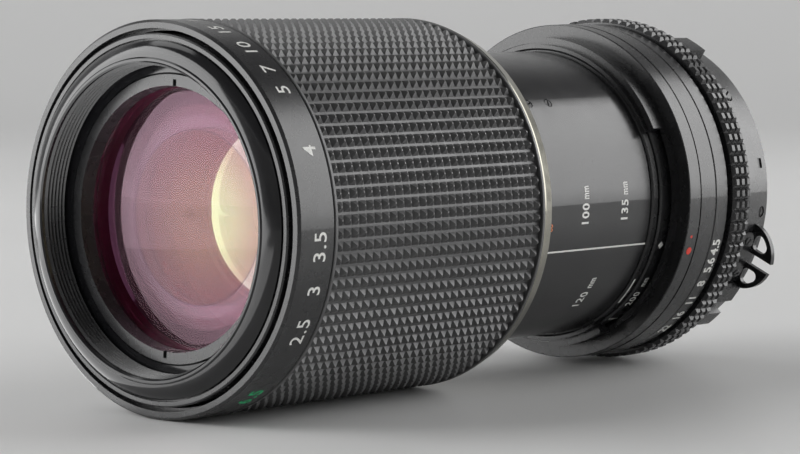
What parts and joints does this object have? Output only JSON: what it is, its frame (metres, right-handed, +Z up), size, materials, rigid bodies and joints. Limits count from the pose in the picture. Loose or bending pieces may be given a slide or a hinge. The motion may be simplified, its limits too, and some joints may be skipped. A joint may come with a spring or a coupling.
{
  "type": "camera lens",
  "caption": "Push-pull zoom lens with a ribbed rubber sleeve, bare scale barrel, knurled aperture ring and metal bayonet, with working zoom, focus and iris.",
  "frame": {"origin": "centre of the bayonet flange's seating face, on the optical axis", "axes": "+Y along the optical axis towards the camera, so the front of the lens looks towards -Y; +Z up with the lens level; +X completes a right-handed frame"},
  "size_m": [0.0662, 0.141, 0.0662],
  "materials": {
    "black_anodised": "satin",
    "black_gloss": "gloss",
    "rubber": "matte",
    "bright_metal": "satin",
    "brass": "satin",
    "glass": "polished",
    "blade_steel": "satin"
  },
  "bodies": {
    "barrel": {"main_barrel": "black_anodised", "barrel_screws": "bright_metal", "helicoid_tube": "black_anodised", "rear_housing": "black_anodised", "stop_ring": "black_anodised", "index_ring": "black_anodised", "guide_tube": "black_anodised", "relay_front_cell": "black_anodised", "relay_front_glass": "glass", "iris_housing": "black_anodised", "rear_cell": "black_anodised", "rear_glass_1": "glass", "rear_glass_2": "glass", "rear_spacer": "black_anodised", "rear_retaining_ring": "black_anodised", "rear_baffle": "black_anodised", "bayonet_mount": "bright_metal", "mount_screws": "bright_metal", "click_ball": "bright_metal", "click_spring": "bright_metal"},
    "slider": {"zoom_slider": "black_anodised", "zoom_keys": "bright_metal"},
    "sleeve": {"front_bezel": "black_anodised", "grip_sleeve": "black_anodised", "rubber_grip": "rubber", "rear_trim_ring": "black_anodised", "focus_key": "brass"},
    "front_group": {"front_cell": "black_anodised", "front_glass_1": "glass", "front_glass_2": "glass", "front_glass_3": "glass", "front_spacer": "black_anodised", "front_retaining_ring": "black_anodised"},
    "front_barrel": {"front_barrel": "black_gloss", "filter_ring": "black_gloss", "helicoid_nut": "brass"},
    "cam_sleeve": {"cam_sleeve": "black_anodised"},
    "variator": {"variator_cell": "black_anodised", "variator_glass_1": "glass", "variator_glass_2": "glass", "variator_spacer": "black_anodised", "variator_pins": "brass"},
    "compensator": {"compensator_cell": "black_anodised", "compensator_glass": "glass", "compensator_pins": "brass"},
    "aperture_ring": {"aperture_ring": "black_anodised", "ring_screw": "bright_metal", "skirt_screw": "bright_metal", "metering_prong": "black_anodised", "prong_screws": "bright_metal"},
    "iris_actuator": {"blade_actuator_ring": "blade_steel", "stop_down_lever": "blade_steel"},
    "blade_1": {"iris_blade_1": "blade_steel"},
    "blade_2": {"iris_blade_2": "blade_steel"},
    "blade_3": {"iris_blade_3": "blade_steel"},
    "blade_4": {"iris_blade_4": "blade_steel"},
    "blade_5": {"iris_blade_5": "blade_steel"},
    "blade_6": {"iris_blade_6": "blade_steel"},
    "blade_7": {"iris_blade_7": "blade_steel"}
  },
  "joints": [
    {"name": "zoom_slide", "type": "slide", "parent": "barrel", "child": "slider", "axis": [0, 1, 0], "range_m": [0, 0.0352]},
    {"name": "focus_turn", "type": "hinge", "parent": "slider", "child": "sleeve", "pos_m": [0, 0, 0], "axis": [0, -1, 0], "range_deg": [0, 200]},
    {"name": "front_travel", "type": "slide", "parent": "barrel", "child": "front_group", "axis": [0, -1, 0], "range_m": [0, 0.0085]},
    {"name": "front_turn", "type": "hinge", "parent": "front_group", "child": "front_barrel", "pos_m": [0, 0, 0], "axis": [0, -1, 0], "range_deg": [0, 200.04]},
    {"name": "cam_turn", "type": "hinge", "parent": "barrel", "child": "cam_sleeve", "pos_m": [0, 0, 0], "axis": [0, -1, 0], "range_deg": [0, 60.01]},
    {"name": "variator_slide", "type": "slide", "parent": "barrel", "child": "variator", "axis": [0, 1, 0], "range_m": [0, 0.022]},
    {"name": "compensator_slide", "type": "slide", "parent": "barrel", "child": "compensator", "axis": [0, -1, 0], "range_m": [0, 0.0042]},
    {"name": "aperture_turn", "type": "hinge", "parent": "barrel", "child": "aperture_ring", "pos_m": [0, 0, 0], "axis": [0, -1, 0], "range_deg": [0, 36.3]},
    {"name": "iris_drive", "type": "hinge", "parent": "barrel", "child": "iris_actuator", "pos_m": [0, 0, 0], "axis": [0, -1, 0], "range_deg": [0, 3.98]},
    {"name": "blade_1_swing", "type": "hinge", "parent": "barrel", "child": "blade_1", "pos_m": [0.01674, -0.0402, 0.00295], "axis": [0, -1, 0], "range_deg": [0, 27.11]},
    {"name": "blade_2_swing", "type": "hinge", "parent": "barrel", "child": "blade_2", "pos_m": [0.00813, -0.0402, 0.01493], "axis": [0, -1, 0], "range_deg": [0, 27.11]},
    {"name": "blade_3_swing", "type": "hinge", "parent": "barrel", "child": "blade_3", "pos_m": [-0.0066, -0.0402, 0.01567], "axis": [0, -1, 0], "range_deg": [0, 27.11]},
    {"name": "blade_4_swing", "type": "hinge", "parent": "barrel", "child": "blade_4", "pos_m": [-0.01636, -0.0402, 0.0046], "axis": [0, -1, 0], "range_deg": [0, 27.11]},
    {"name": "blade_5_swing", "type": "hinge", "parent": "barrel", "child": "blade_5", "pos_m": [-0.0138, -0.0402, -0.00992], "axis": [0, -1, 0], "range_deg": [0, 27.11]},
    {"name": "blade_6_swing", "type": "hinge", "parent": "barrel", "child": "blade_6", "pos_m": [-0.00085, -0.0402, -0.01698], "axis": [0, -1, 0], "range_deg": [0, 27.11]},
    {"name": "blade_7_swing", "type": "hinge", "parent": "barrel", "child": "blade_7", "pos_m": [0.01275, -0.0402, -0.01125], "axis": [0, -1, 0], "range_deg": [0, 27.11]}
  ],
  "couplings": [
    {"joint": "front_travel", "follows": "focus_turn", "m_per_rad": 0.0024351},
    {"joint": "front_turn", "follows": "focus_turn", "ratio": 1},
    {"joint": "cam_turn", "follows": "zoom_slide", "rad_per_m": 29.75},
    {"joint": "variator_slide", "follows": "zoom_slide", "ratio": 0.625},
    {"joint": "compensator_slide", "follows": "zoom_slide", "ratio": 0.11932},
    {"joint": "iris_drive", "follows": "aperture_turn", "ratio": 0.10948},
    {"joint": "blade_1_swing", "follows": "aperture_turn", "ratio": 0.74656},
    {"joint": "blade_2_swing", "follows": "aperture_turn", "ratio": 0.74656},
    {"joint": "blade_3_swing", "follows": "aperture_turn", "ratio": 0.74656},
    {"joint": "blade_4_swing", "follows": "aperture_turn", "ratio": 0.74656},
    {"joint": "blade_5_swing", "follows": "aperture_turn", "ratio": 0.74656},
    {"joint": "blade_6_swing", "follows": "aperture_turn", "ratio": 0.74656},
    {"joint": "blade_7_swing", "follows": "aperture_turn", "ratio": 0.74656}
  ]
}
